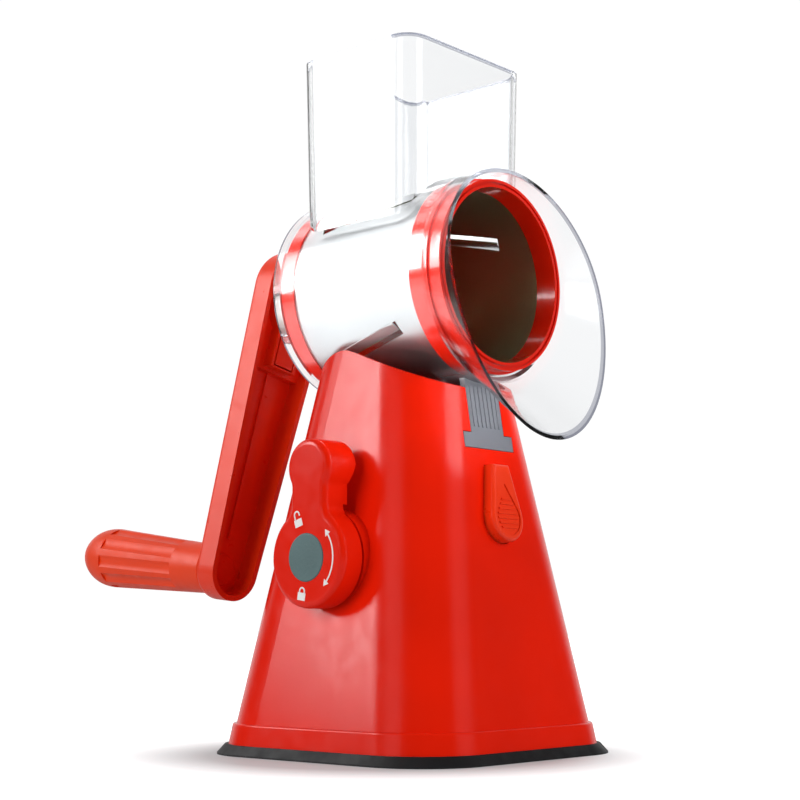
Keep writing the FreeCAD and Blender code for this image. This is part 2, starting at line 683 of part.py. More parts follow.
def make_button_spring():
    helix = Part.makeHelix(SPRING_LENGTH / SPRING_TURNS, SPRING_LENGTH, SPRING_R)
    ring = Part.Wire(Part.makeCircle(SPRING_WIRE, Vector(SPRING_R, 0, 0), AXIS_Y))
    coil = Part.Wire(helix.Edges).makePipeShell([ring], True, True)
    coil.translate(Vector(0, POST_S, POST_END + SPRING_WIRE + SPRING_END_GAP))
    return placed(coil, front_wall(BUTTON_Z))


def make_button_retainer():
    over_x, over_s = RETAINER_EDGE
    plate = box((-POST_X - over_x, POST_X + over_x), (POST_S - over_s, POST_S + over_s),
                (POST_END - RETAINER_T, POST_END))
    stud = Part.makeCylinder(SPRING_SEAT_R, RETAINER_STUD, Vector(0, POST_S, POST_END))
    retainer = placed(plate.fuse(stud), front_wall(BUTTON_Z))
    return retainer.cut([post_cylinder(sx, RETAINER_HOLE_R, -THROUGH, 0) for sx in (-1, 1)])


def make_retainer_screws():
    back = POST_END - RETAINER_T
    radius, height = RETAINER_HEAD
    half, depth = RETAINER_SLOT
    screws = []
    for sx in (-1, 1):
        head = post_cylinder(sx, radius, back - height, back)
        shank = post_cylinder(sx, RETAINER_SCREW_R, back - 0.1, back + RETAINER_SCREW_LENGTH)
        slot = box((sx * POST_X - radius, sx * POST_X + radius), (POST_S - half, POST_S + half),
                   (back - height - OVERLAP, back - height + depth))
        screws.append(head.fuse(shank).cut(placed(slot, front_wall(BUTTON_Z))))
    return Part.makeCompound(screws)


# ---- clear housing -----------------------------------------------------------
def egg_rim(inset=0.0):
    """Outlet rim, on its leaning plane, as two half ellipses."""
    lean = math.atan(RIM_SLOPE)
    stretch = 1 / math.cos(lean)
    centre = Vector(0, RIM_MID_Y, RIM_MID_Z)
    up = Vector(0, math.sin(lean), math.cos(lean))
    side = Vector(RIM_HALF_WIDTH - inset, 0, 0)
    edges = []
    for sign, reach in ((1, RIM_UP - inset), (-1, RIM_DOWN - inset)):
        tip = centre + up * (sign * reach * stretch)
        if reach > side.x:
            curve = Part.Ellipse(tip, centre + side * sign, centre)
        else:
            curve = Part.Ellipse(centre + side * sign, tip, centre)
        first = curve.parameter(centre + side * sign)
        last = curve.parameter(centre - side * sign)
        middle = curve.parameter(tip)
        if not first < middle < (last if last > first else last + 2 * math.pi):
            first, last = last, first
        if last < first:
            last += 2 * math.pi
        edges.append(Part.Edge(curve, first, last))
    return Part.Wire(Part.__sortEdges__(edges))


def hood_ring(radius):
    """Circle at the housing's front, as two half circles that match the rim."""
    y = HOUSING_FRONT_Y
    right = Vector(radius, y, DRUM_Z)
    left = Vector(-radius, y, DRUM_Z)
    over = Part.Arc(right, Vector(0, y, DRUM_Z + radius), left).toShape()
    under = Part.Arc(left, Vector(0, y, DRUM_Z - radius), right).toShape()
    return Part.Wire([over, under])


def chute_section(z, inset=0.0):
    """Rounded rectangle of the chute at height z."""
    loss = CHUTE_TAPER * (CHUTE_TOP_Z - z) + inset
    return (CHUTE_TOP_HALF[0] - loss, CHUTE_TOP_HALF[1] - loss, CHUTE_CORNER - inset, z)


def make_clear_housing():
    bore_r = HOUSING_R - HOUSING_WALL
    outside = on_drum_axis(HOUSING_R, HOUSING_FRONT_Y, HOUSING_REAR_Y)
    hood = Part.makeLoft([hood_ring(HOUSING_R), egg_rim()], True, True)
    chute = tapered(chute_section(DRUM_Z + 2 * OVERLAP), chute_section(CHUTE_TOP_Z))
    tongue = placed(tongue_prism(*TONGUE_DEPTH), front_wall(TONGUE_Z))
    lug_post = box((-LUG_HALF, LUG_HALF), (LUG_Y[0], LUG_POST_Y), (LUG_Z[0], LUG_ROOT_Z))
    bearing = on_drum_axis(BEARING_R, HOUSING_REAR_Y - OVERLAP, BEARING_END_Y)
    housing = outside.fuse([hood, chute, tongue, lug_post, rear_lug(), bearing])
    inside = tapered(chute_section(DRUM_Z + OVERLAP, CHUTE_WALL),
                     chute_section(CHUTE_TOP_Z + OVERLAP, CHUTE_WALL))
    hollow = [on_drum_axis(bore_r, HOUSING_FRONT_Y, HOUSING_REAR_Y - HOUSING_WALL),
              Part.makeLoft([hood_ring(bore_r), egg_rim(RIM_WALL)], True, True),
              inside,
              on_drum_axis(JOURNAL_R + RUNNING_GAP, 0, THROUGH)]
    return housing.cut(hollow)


# ---- drum -----------------------------------------------------------
def make_drum_front_ring():
    ring = on_drum_axis(DRUM_R, RING_STEP_Y, RING_SLEEVE_Y)
    nose = on_drum_axis(RING_STEP_R, RING_FRONT_Y, RING_STEP_Y + OVERLAP)
    low, high = RING_GROOVE_R
    groove_end = RING_FRONT_Y + RING_GROOVE_DEPTH
    cuts = [on_drum_axis(RING_INNER_R, -THROUGH, 0),
            on_drum_axis(SHELL_R, SHELL_FRONT_Y, 0),
            tube(high, low, RING_FRONT_Y - OVERLAP, groove_end, "Y", (0.0, DRUM_Z))]
    return ring.fuse(nose).cut(cuts)


def around_drum(shape, angle):
    """Turn a shape about the drum's axis from the top, clockwise seen from the outlet."""
    copy = shape.copy()
    copy.rotate(Vector(0, 0, DRUM_Z), AXIS_Y, angle)
    return copy


def make_drum_shell():
    inner_r = SHELL_R - SHELL_T
    shell = tube(SHELL_R, inner_r, SHELL_FRONT_Y, SHELL_REAR_Y, "Y", (0.0, DRUM_Z))
    half = SLOT_LENGTH / 2
    slot = box((-SLOT_WIDTH / 2, SLOT_WIDTH / 2), (-half, half), (-SLOT_WIDTH, SLOT_WIDTH))
    lip = box((-LIP_WIDTH, 0), (LIP_SHORTER - half, half - LIP_SHORTER), (-SHELL_T, 0))
    lip.rotate(Vector(-LIP_WIDTH, 0, 0), AXIS_Y, -LIP_RISE)
    lip.translate(Vector(LIP_SHIFT, 0, -LIP_SUNK))
    slots = []
    lips = []
    for i in range(SLOT_COUNT):
        angle = SLOT_FIRST + i * 360.0 / SLOT_COUNT
        for piece, group in ((slot, slots), (lip, lips)):
            copy = piece.copy()
            copy.rotate(Vector(0, 0, 0), AXIS_Z, SLOT_SLANT)
            copy.translate(Vector(0, 0, DRUM_Z + SHELL_R))
            group.append(around_drum(copy, angle))
    keep = tube(SHELL_R + LIP_REACH, inner_r, SHELL_FRONT_Y, SHELL_REAR_Y, "Y", (0.0, DRUM_Z))
    return shell.cut(slots).fuse([piece.common(keep) for piece in lips])


def make_drum_back():
    rim = on_drum_axis(DRUM_R, SHELL_REAR_Y, DRUM_REAR_Y)
    sleeve = tube(DRUM_R, SHELL_R, REAR_SLEEVE_Y, SHELL_REAR_Y + OVERLAP, "Y", (0.0, DRUM_Z))
    spigot = on_drum_axis(SHELL_R - SHELL_T, SHELL_REAR_Y - SPIGOT_DEPTH, SHELL_REAR_Y + OVERLAP)
    hub = on_drum_axis(HUB_R, HUB_FRONT_Y, DRUM_REAR_Y)
    dish = on_drum_axis(DISH_R, 0, DISH_FLOOR_Y).cut(on_drum_axis(HUB_R, -OVERLAP, THROUGH))
    socket = square_bar(TIP_SIDE + 2 * SOCKET_GAP, TIP_FRONT_Y - 2 * SOCKET_GAP, THROUGH)
    return rim.fuse([sleeve, spigot, hub]).cut([dish, socket])


# ---- crank -----------------------------------------------------------
def make_drive_shaft():
    tip = square_bar(TIP_SIDE, TIP_FRONT_Y, JOURNAL_Y + OVERLAP)
    journal = on_drum_axis(JOURNAL_R, JOURNAL_Y, COLLAR_Y[0] + OVERLAP)
    collar = on_drum_axis(COLLAR_R, *COLLAR_Y)
    root = square_bar(ROOT_SIDE, COLLAR_Y[1] - OVERLAP, ROOT_REAR_Y)
    shaft = tip.fuse([journal, collar, root])
    return shaft.cut(on_drum_axis(THREAD_R, COLLAR_Y[1], THROUGH))


def arm_outline(inset=0.0):
    """Tapered bar with round ends, in the crank frame's XZ plane."""
    top_r = ARM_TOP_R - inset
    end_r = ARM_END_R - inset
    span = ARM_TOP + ARM_LENGTH
    lean = math.asin((top_r - end_r) / span)
    reach_top = Vector(top_r * math.cos(lean), 0, ARM_TOP + top_r * -math.sin(lean))
    reach_end = Vector(end_r * math.cos(lean), 0, -ARM_LENGTH - end_r * math.sin(lean))
    left_top = Vector(-reach_top.x, 0, reach_top.z)
    left_end = Vector(-reach_end.x, 0, reach_end.z)
    return Part.Wire([
        Part.Arc(left_top, Vector(0, 0, ARM_TOP + top_r), reach_top).toShape(),
        Part.makeLine(reach_top, reach_end),
        Part.Arc(reach_end, Vector(0, 0, -ARM_LENGTH - end_r), left_end).toShape(),
        Part.makeLine(left_end, left_top)])


def arm_prism(inset, low, high):
    """Solid of the arm's outline between two distances along Y."""
    solid = Part.Face(arm_outline(inset)).extrude(Vector(0, high - low, 0))
    solid.translate(Vector(0, low, 0))
    return solid


def make_crank_arm():
    floor_y = ARM_REAR_Y - ARM_WALL
    joined_y = floor_y + OVERLAP
    arm = arm_prism(0, ARM_FRONT_Y, ARM_REAR_Y)
    rear = [e for e in arm.Edges if e.BoundBox.YMin > ARM_REAR_Y - 0.01]
    arm = arm.makeFillet(ARM_EDGE_R, rear)
    arm = arm.cut(arm_prism(ARM_WALL, 0, floor_y))
    inside = arm_prism(ARM_WALL / 2, 0, joined_y)
    pad = box((-ARM_TOP_R, ARM_TOP_R), (HUB_PAD_Y, joined_y), (HUB_PAD_BOTTOM, HUB_PAD_TOP))
    pad = pad.common(inside)
    block = box((-HUB_BLOCK_HALF, HUB_BLOCK_HALF), (ARM_FRONT_Y + 0.2, joined_y),
                (HUB_BLOCK_BOTTOM, HUB_BLOCK_TOP))
    boss = round_bar(HUB_BOSS_R, HUB_BOSS_Y, joined_y, "Y")
    rib = box((-ARM_RIB[0], ARM_RIB[0]), (floor_y - ARM_RIB[1], joined_y),
              (ARM_RIB_END - ARM_LENGTH, HUB_PAD_BOTTOM + OVERLAP))
    arm = arm.fuse([pad, block, boss, rib])
    edge = FINGER_HALF + FINGER_GAP
    bottom = FINGER_BOTTOM - FINGER_GAP
    depth = (0, ARM_FRONT_Y + FINGER_DEPTH)
    cuts = [box((-edge, -FINGER_HALF), depth, (bottom, FINGER_ROOT)),
            box((FINGER_HALF, edge), depth, (bottom, FINGER_ROOT)),
            box((-edge, edge), depth, (bottom, FINGER_BOTTOM)),
            round_bar(AXLE_R, 0, THROUGH, "Y", (0.0, -ARM_LENGTH))]
    arm = crank_frame(arm.cut(cuts))
    return arm.cut([square_bar(ROOT_SIDE, 0, ROOT_REAR_Y), on_drum_axis(CLEAR_R, 0, THROUGH),
                    on_drum_axis(CRANK_HEAD_HOLE_R, CRANK_HEAD[1], THROUGH)])


def make_crank_screw():
    radius, seat_y = CRANK_HEAD
    head = on_drum_axis(radius, seat_y, ARM_REAR_Y)
    head = head.cut(on_drum_axis(CRANK_SOCKET[0], CRANK_SOCKET[1], THROUGH))
    return head.fuse(on_drum_axis(THREAD_R, CRANK_SCREW_TIP_Y, seat_y + 0.1))


def make_grip_axle():
    floor_y = ARM_REAR_Y - ARM_WALL
    at = (0.0, -ARM_LENGTH)
    head = round_bar(AXLE_HEAD_R, floor_y - AXLE_HEAD_T, floor_y, "Y", at)
    rim = [e for e in head.Edges if e.BoundBox.YMax < floor_y - AXLE_HEAD_T + 0.1]
    head = head.makeFillet(AXLE_HEAD_EDGE, rim)
    pin = round_bar(AXLE_R, floor_y - OVERLAP, AXLE_END_Y, "Y", at)
    groove = tube(AXLE_R + OVERLAP, SNAP_R, *SNAP_Y, "Y", at)
    return crank_frame(head.fuse(pin).cut(groove))


def grip_profile():
    """Half outline of the grip, about its own axis along Y."""
    start = Vector(0, GRIP_START_Y, 0)
    base = Vector(GRIP_START_R - GRIP_EDGE, GRIP_START_Y, 0)
    shoulder = Vector(GRIP_START_R, GRIP_START_Y + GRIP_EDGE, 0)
    wide = Vector(GRIP_END_R, GRIP_DOME_Y, 0)
    tip = Vector(0, GRIP_TIP_Y, 0)
    bend = math.sqrt(0.5)
    middle = Vector(GRIP_END_R * bend, GRIP_DOME_Y + (GRIP_TIP_Y - GRIP_DOME_Y) * bend, 0)
    dome = Part.BSplineCurve()
    dome.interpolate(Points=[wide, middle, tip], InitialTangent=AXIS_Y, FinalTangent=-AXIS_X)
    return Part.Wire([Part.makeLine(start, base), Part.makeLine(base, shoulder),
                      Part.makeLine(shoulder, wide), dome.toShape(), Part.makeLine(tip, start)])


def make_grip():
    grip = Part.Face(grip_profile()).revolve(Vector(0, 0, 0), AXIS_Y, 360)
    low, high = FLUTE_Y
    swell = (GRIP_END_R - GRIP_START_R) / (GRIP_DOME_Y - GRIP_START_Y)
    middle_y = (low + high) / 2
    middle_r = GRIP_START_R + swell * (middle_y - GRIP_START_Y)
    flutes = []
    for i in range(FLUTE_COUNT):
        flute = round_bar(FLUTE_R, low, high, "Y", (middle_r + FLUTE_R - FLUTE_DEPTH, 0.0))
        flute.rotate(Vector(middle_r, middle_y, 0), AXIS_Z, -math.degrees(math.atan(swell)))
        flute.rotate(Vector(0, 0, 0), AXIS_Y, (i + FLUTE_OFFSET) * 360.0 / FLUTE_COUNT)
        flutes.append(flute)
    bore = round_bar(AXLE_R + RUNNING_GAP, 0, AXLE_END_Y + OVERLAP, "Y")
    ridge = tube(AXLE_R + 0.5, SNAP_R + SNAP_GAP, SNAP_Y[0] + SNAP_PLAY, SNAP_Y[1] - SNAP_PLAY, "Y")
    grip = grip.cut(flutes + [bore]).fuse(ridge)
    grip.translate(Vector(0, 0, -ARM_LENGTH))
    return crank_frame(grip)


PIECES = {
    "body_shell": make_body_shell,
    "base_plate": make_base_plate,
    "base_screws": make_base_screws,
    "suction_pad": make_suction_pad,
    "pull_disc": make_pull_disc,
    "suction_rod": make_suction_rod,
    "rod_pin": make_rod_pin,
    "lever_shaft": make_lever_shaft,
    "suction_lever": make_suction_lever,
    "lever_screw": make_lever_screw,
    "lever_cap": make_lever_cap,
    "release_button": make_release_button,
    "button_spring": make_button_spring,
    "button_retainer": make_button_retainer,
    "retainer_screws": make_retainer_screws,
    "clear_housing": make_clear_housing,
    "drum_front_ring": make_drum_front_ring,
    "drum_shell": make_drum_shell,
    "drum_back": make_drum_back,
    "drive_shaft": make_drive_shaft,
    "crank_arm": make_crank_arm,
    "crank_screw": make_crank_screw,
    "grip": make_grip,
    "grip_axle": make_grip_axle,
}

for piece_name, make in PIECES.items():
    save(piece_name, make())
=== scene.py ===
# %% [markdown]
# # A drum grater with a suction base
# The grater is moulded plastic around one sheet-steel drum: a red tower, a clear
# housing, a crank and a lever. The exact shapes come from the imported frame, so this
# lesson is about finishes, light and the small shapes that finish a moulding.

import math

import bmesh
import bpy
from mathutils import Matrix, Vector


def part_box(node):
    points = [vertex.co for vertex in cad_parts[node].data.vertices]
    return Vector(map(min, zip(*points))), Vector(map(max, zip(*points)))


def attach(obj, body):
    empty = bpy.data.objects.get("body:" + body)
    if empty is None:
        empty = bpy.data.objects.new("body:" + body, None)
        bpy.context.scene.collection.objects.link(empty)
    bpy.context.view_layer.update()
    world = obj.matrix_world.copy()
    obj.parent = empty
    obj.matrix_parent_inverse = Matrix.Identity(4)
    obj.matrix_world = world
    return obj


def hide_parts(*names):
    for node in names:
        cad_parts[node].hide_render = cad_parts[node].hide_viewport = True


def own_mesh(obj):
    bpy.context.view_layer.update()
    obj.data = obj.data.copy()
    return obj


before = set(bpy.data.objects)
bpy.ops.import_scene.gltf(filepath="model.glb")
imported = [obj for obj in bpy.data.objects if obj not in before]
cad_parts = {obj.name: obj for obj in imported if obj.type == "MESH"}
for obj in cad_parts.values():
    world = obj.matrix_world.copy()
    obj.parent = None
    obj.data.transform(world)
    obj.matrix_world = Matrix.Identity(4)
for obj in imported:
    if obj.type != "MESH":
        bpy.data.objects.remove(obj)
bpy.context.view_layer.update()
MM = 0.001

# %% [markdown]
# ## Working out positions
# Places are read from the frame's parts, so that a piece made here lands on the part
# it belongs to. The drum and the crank share one axis, which is the middle of the
# drum's front ring. A few sizes that no part's box gives, such as the slope of the
# tower's front, are named here too.

# %% Places read from the frame
ring_low, ring_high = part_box("drum_front_ring")
DRUM_AXIS_Z = (ring_low.z + ring_high.z) / 2
RING_STEP = 0.8 * MM           # how far the ring stands out from the steel shell
SHELL_RADIUS = (ring_high.x - ring_low.x) / 2 - RING_STEP
cap_low, cap_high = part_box("lever_cap")
LEVER_AXIS_Z = (cap_low.z + cap_high.z) / 2
LEVER_FRONT_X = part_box("suction_lever")[0].x
CHUTE_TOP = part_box("clear_housing")[1].z
HOUSING_REAR = 40 * MM         # outside of the clear drum cylinder's closed end
HOUSING_RADIUS = 43 * MM
RIM_SLOPE = 0.1715             # how far the hood's rim leans forwards, per unit down
RIM_FRONT, RIM_HEIGHT = 61.6 * MM, 185.3 * MM      # one point of the rim
RIM_PLANE = RIM_FRONT + RIM_SLOPE * RIM_HEIGHT
TONGUE_TOP_Z = 150 * MM
TONGUE_NEAR, TONGUE_FAR = 25 * MM, 42.5 * MM       # it lies between these, forwards
TOWER_SLOPE = 0.165            # the tower's front wall leans back by this per unit up
TOWER_FRONT, TOWER_HEIGHT = 57.95 * MM, 17.0 * MM  # one point of that wall
print("drum axis at z", round(DRUM_AXIS_Z, 4), "lever axis at z", round(LEVER_AXIS_Z, 4))

# %% [markdown]
# ## Shader helpers
# A finish is a Principled shader with a few textures behind it. The first helper
# makes the shader and sets plain numbers on its sockets. The others each add one
# step: a noise texture on Object coordinates, which stays put on the piece in any
# pose, a remapped value, a mix of two colours, some arithmetic, or a bump.
#
# Positions on a piece are its Object coordinates too, so a finish can change at a
# height, at a distance from the drum's axis, or past a sloping plane. The last three
# helpers choose between two shaders, change a colour's brightness, and put an object
# in the scene.

# %% Helpers that build node trees and objects
def new_finish(name, color, roughness, **sockets):
    """A material with one Principled shader; returns the material, tree and shader."""
    material = bpy.data.materials.new(name)
    material.use_nodes = True
    tree = material.node_tree
    shader = tree.nodes["Principled BSDF"]
    shader.inputs["Base Color"].default_value = (*color, 1)
    shader.inputs["Roughness"].default_value = roughness
    for socket, value in sockets.items():
        shader.inputs[socket.replace("_", " ")].default_value = value
    return material, tree, shader


def object_place(tree):
    """The position on the piece, in metres."""
    return tree.nodes.new("ShaderNodeTexCoord").outputs["Object"]


def noise(tree, scale, detail=3.0, stretch=(1, 1, 1)):
    """A noise value on the piece's own coordinates; scale is in waves per metre."""
    mapping = tree.nodes.new("ShaderNodeMapping")
    mapping.inputs["Scale"].default_value = stretch
    texture = tree.nodes.new("ShaderNodeTexNoise")
    texture.inputs["Scale"].default_value = scale
    texture.inputs["Detail"].default_value = detail
    tree.links.new(object_place(tree), mapping.inputs["Vector"])
    tree.links.new(mapping.outputs["Vector"], texture.inputs["Vector"])
    return texture.outputs["Fac"]


def mapped(tree, value, start, end, low=0.0, high=1.0):
    """Maps a value from start to end onto low to high, and holds it there beyond."""
    node = tree.nodes.new("ShaderNodeMapRange")
    for socket, number in (("From Min", start), ("From Max", end),
                           ("To Min", low), ("To Max", high)):
        node.inputs[socket].default_value = number
    tree.links.new(value, node.inputs["Value"])
    return node.outputs["Result"]


def spread(tree, value, low, high):
    """Maps the middle of a noise value, where most of it lies, to low to high."""
    return mapped(tree, value, 0.3, 0.7, low, high)


def beyond(tree, value, limit, soft):
    """0 below a limit and 1 above it, with a soft step."""
    return mapped(tree, value, limit - soft, limit + soft)


def blend(tree, factor, first, second):
    """A colour between two, each a plain colour or the output of another node."""
    node = tree.nodes.new("ShaderNodeMix")
    node.data_type = "RGBA"
    tree.links.new(factor, node.inputs["Factor"])
    for socket, value in (("A", first), ("B", second)):
        if isinstance(value, tuple):
            node.inputs[socket].default_value = (*value, 1)
        else:
            tree.links.new(value, node.inputs[socket])
    return node.outputs["Result"]


def tint(tree, value, dark, light):
    """A colour between dark and light, by a noise value."""
    return blend(tree, spread(tree, value, 0, 1), dark, light)


def relief(tree, shader, value, height):
    """Bump of a height in metres from a value."""
    node = tree.nodes.new("ShaderNodeBump")
    node.inputs["Distance"].default_value = height
    node.inputs["Strength"].default_value = 1.0
    tree.links.new(value, node.inputs["Height"])
    tree.links.new(node.outputs["Normal"], shader.inputs["Normal"])


def calculation(tree, kind, operation, values):
    """One node of arithmetic; each value is a plain one or another node's output."""
    node = tree.nodes.new(kind)
    node.operation = operation
    for socket, value in zip(node.inputs, values):
        if isinstance(value, bpy.types.NodeSocket):
            tree.links.new(value, socket)
        else:
            socket.default_value = value
    return node


def arith(tree, operation, *values):
    """A number worked out from numbers."""
    return calculation(tree, "ShaderNodeMath", operation, values).outputs["Value"]


def where(tree, operation, *values):
    """A position or a length worked out from positions."""
    node = calculation(tree, "ShaderNodeVectorMath", operation, values)
    return node.outputs["Value" if operation in ("LENGTH", "DOT_PRODUCT") else "Vector"]


def past(tree, place, direction, limit, soft):
    """1 where a position lies further along a direction than a limit, 0 elsewhere."""
    return beyond(tree, where(tree, "DOT_PRODUCT", place, direction), limit, soft)


def from_drum_axis(tree, place):
    """The distance of a position from the drum's axis."""
    offset = where(tree, "SUBTRACT", place, (0.0, 0.0, DRUM_AXIS_Z))
    return where(tree, "LENGTH", where(tree, "MULTIPLY", offset, (1.0, 0.0, 1.0)))


def switched(tree, factor, first, second, output):
    """Shows the first shader where a factor is 0 and the second where it is 1."""
    switch = tree.nodes.new("ShaderNodeMixShader")
    tree.links.new(factor, switch.inputs["Fac"])
    tree.links.new(first, switch.inputs[1])
    tree.links.new(second, switch.inputs[2])
    tree.links.new(switch.outputs["Shader"], output.inputs["Surface"])


def scaled(color, factor):
    """A colour made darker or lighter."""
    return tuple(min(1.0, c * factor) for c in color)


def in_scene(name, data):
    """A new object in the scene, made of a mesh, a light or a camera."""
    item = bpy.data.objects.new(name, data)
    bpy.context.scene.collection.objects.link(item)
    return item


# %% [markdown]
# ## Moulded plastic
# Gloss ABS is smooth, with a faint waviness from the mould that softens its
# reflections. Satin plastic has a fine spark-eroded grain. One function makes both,
# because only the scale and strength of the detail differ. The drum's rings are
# glossier than the tower. The crank, the button and the grip are satin, in a red that
# is a little warmer.

# %% Plastics
def moulded(name, color, roughness, grain, grain_height, uneven=0.06, **sockets):
    """Opaque moulded plastic with a mould grain and slightly uneven colour and gloss."""
    material, tree, shader = new_finish(name, color, roughness, **sockets)
    slow = noise(tree, 22.0, 2.0)
    tree.links.new(tint(tree, slow, scaled(color, 1 - uneven), scaled(color, 1 + uneven)),
                   shader.inputs["Base Color"])
    tree.links.new(spread(tree, noise(tree, 160.0, 4.0), roughness * 0.8, roughness * 1.25),
                   shader.inputs["Roughness"])
    relief(tree, shader, noise(tree, grain, 2.0), grain_height)
    return material


RED = (0.80, 0.0125, 0.0010)
WARM_RED = (0.85, 0.036, 0.0045)
gloss_red = moulded("gloss_red_plastic", RED, 0.21, 60.0, 0.00004, IOR=1.45,
                    Specular_IOR_Level=0.32)
satin_red = moulded("satin_red_plastic", WARM_RED, 0.34, 2600.0, 0.000012, IOR=1.5,
                    Specular_IOR_Level=0.38)
ring_red = moulded("ring_red_plastic", RED, 0.18, 60.0, 0.00004, IOR=1.5, Coat_Weight=1.0,
                   Coat_Roughness=0.12)
grip_red = moulded("grip_red_plastic", (0.86, 0.052, 0.006), 0.40, 1900.0, 0.00002, IOR=1.5,
                   Specular_IOR_Level=0.3)
cap_grey = moulded("cap_grey_plastic", (0.075, 0.140, 0.142), 0.45, 900.0, 0.00006, 0.35)
acetal = moulded("natural_acetal", (0.62, 0.61, 0.57), 0.42, 1200.0, 0.00001)
rubber = moulded("black_rubber", (0.010, 0.011, 0.012), 0.55, 900.0, 0.00003, 0.3,
                 Specular_IOR_Level=0.4)
print("opaque plastics made")

# %% [markdown]
# ## Clear plastic
# The housing is polished clear plastic. It bends light, so the shader is real
# transmission. Lamps shine through it by a Light Path switch that puts a transparent
# shader in for shadow rays, since sharp caustics would only give noise.
#
# Two parts of the moulding look different. Its tongue is frosted, so that it hides
# the catch behind it. Its open edges are cut across, and look grey because light
# that is caught in the wall leaves there; that grey is painted into their colour.
# Both are found from the position.

# %% Clear plastic
EDGE_WIDTH = 0.9 * MM
CHUTE_EDGE_WIDTH = 0.8 * MM
EDGE_SOFT = 0.1 * MM
TONGUE_TOP_SOFT, TONGUE_SOFT = 2 * MM, 1 * MM
# Painted grey on the cut edges, standing in for light that leaves the wall there.
PAINTED_EDGE_GREY = (0.30, 0.31, 0.37)
FROSTED_GREY = (0.25, 0.26, 0.29)
FROSTED_ROUGHNESS = 0.42
FROSTED_CLEARNESS = 0.35
SHADOW_CLEARNESS = 0.97


def tongue_mask(tree, place):
    """1 on the housing's tongue, and 0 elsewhere."""
    low = past(tree, place, (0.0, 0.0, -1.0), -TONGUE_TOP_Z, TONGUE_TOP_SOFT)
    ahead = past(tree, place, (0.0, -1.0, 0.0), TONGUE_NEAR, TONGUE_SOFT)
    behind_hood = past(tree, place, (0.0, 1.0, 0.0), -TONGUE_FAR, TONGUE_SOFT)
    return arith(tree, "MULTIPLY", arith(tree, "MULTIPLY", low, ahead), behind_hood)


def edge_mask(tree, place):
    """1 on the hood's rim, the chute's top edge and the edge of the closed end."""
    rear = past(tree, place, (0.0, 1.0, 0.0), HOUSING_REAR - EDGE_WIDTH, EDGE_SOFT)
    outer = beyond(tree, from_drum_axis(tree, place), HOUSING_RADIUS - EDGE_WIDTH, EDGE_SOFT)
    rim = past(tree, place, (0.0, -1.0, RIM_SLOPE), RIM_PLANE - EDGE_WIDTH, EDGE_SOFT)
    top = past(tree, place, (0.0, 0.0, 1.0), CHUTE_TOP - CHUTE_EDGE_WIDTH, EDGE_SOFT)
    closed_end = arith(tree, "MULTIPLY", rear, outer)
    return arith(tree, "MAXIMUM", arith(tree, "MAXIMUM", closed_end, rim), top)


def clear_plastic(name, color, roughness, ior):
    """Clear plastic with painted grey edges for light leaving the wall, frosted on the
    housing's tongue.
    """
    material, tree, shader = new_finish(name, color, roughness, IOR=ior,
                                        Transmission_Weight=1.0, Coat_Weight=1.0,
                                        Coat_Roughness=0.16, Coat_IOR=1.42)
    relief(tree, shader, noise(tree, 35.0, 1.0), 0.00004)
    place = object_place(tree)
    tongue = tongue_mask(tree, place)
    edged = blend(tree, edge_mask(tree, place), color, PAINTED_EDGE_GREY)
    uneven = spread(tree, noise(tree, 300.0, 3.0), 0.0, roughness * 2)
    tree.links.new(blend(tree, tongue, edged, FROSTED_GREY), shader.inputs["Base Color"])
    tree.links.new(mapped(tree, tongue, 0.0, 1.0, 1.0, FROSTED_CLEARNESS),
                   shader.inputs["Transmission Weight"])
    tree.links.new(arith(tree, "MULTIPLY_ADD", tongue, FROSTED_ROUGHNESS, uneven),
                   shader.inputs["Roughness"])
    through = tree.nodes.new("ShaderNodeBsdfTransparent")
    through.inputs["Color"].default_value = (*scaled(color, SHADOW_CLEARNESS), 1)
    shadow = tree.nodes.new("ShaderNodeLightPath").outputs["Is Shadow Ray"]
    switched(tree, shadow, shader.outputs["BSDF"], through.outputs["BSDF"],
             tree.nodes["Material Output"])
    return material


clear = clear_plastic("clear_plastic", (0.965, 0.975, 0.985), 0.015, 1.14)
print("clear plastic made")

# %% [markdown]
# ## Metals
# The drum is polished stainless sheet: fine lines run around it from rolling and
# buffing. Squeezing the noise along the drum's axis makes those lines. Its inside is
# left as rolled, which is duller. Its darker olive colour is painted shade and a painted
# reflection, and the distance from the axis tells the two sides apart. Screws are zinc
# plated.

# %% Metals
INSIDE_ROUGHNESS = 0.45
SHEET = 0.5 * MM
SHEET_MIDDLE = SHELL_RADIUS - SHEET / 2


def polished_metal(name, color, roughness, stretch, lines_height, inside_shade_and_reflection=None):
    """Bare metal with fine lines; inside_shade_and_reflection is a drum inside's colour of
    painted shade and painted reflection.
    """
    material, tree, shader = new_finish(name, color, roughness, Metallic=1.0)
    lines = noise(tree, 240.0, 6.0, stretch)
    shade = tint(tree, noise(tree, 30.0), scaled(color, 0.93), scaled(color, 1.04))
    if inside_shade_and_reflection:
        radius = from_drum_axis(tree, object_place(tree))
        outside = beyond(tree, radius, SHEET_MIDDLE, EDGE_SOFT)
        shade = blend(tree, outside, inside_shade_and_reflection, shade)
        gloss = mapped(tree, outside, 0.0, 1.0, INSIDE_ROUGHNESS, roughness)
    else:
        gloss = spread(tree, lines, roughness * 0.6, roughness * 1.6)
    tree.links.new(gloss, shader.inputs["Roughness"])
    tree.links.new(shade, shader.inputs["Base Color"])
    relief(tree, shader, lines, lines_height)
    return material


# The inside's olive colour is painted shade and a painted reflection of what the drum
# mirrors.
drum_steel = polished_metal("polished_stainless", (0.74, 0.75, 0.75), 0.34, (0.6, 9.0, 0.6),
                            0.000006, inside_shade_and_reflection=(0.40, 0.46, 0.27))
zinc = polished_metal("zinc_plate", (0.66, 0.66, 0.63), 0.32, (1, 1, 1), 0.00001)
print("metals made")

# %% [markdown]
# ## Giving each part its finish
# The frame's meshes keep their shape. Their one material is swapped for ours, and
# smooth shading stays as the frame has it.

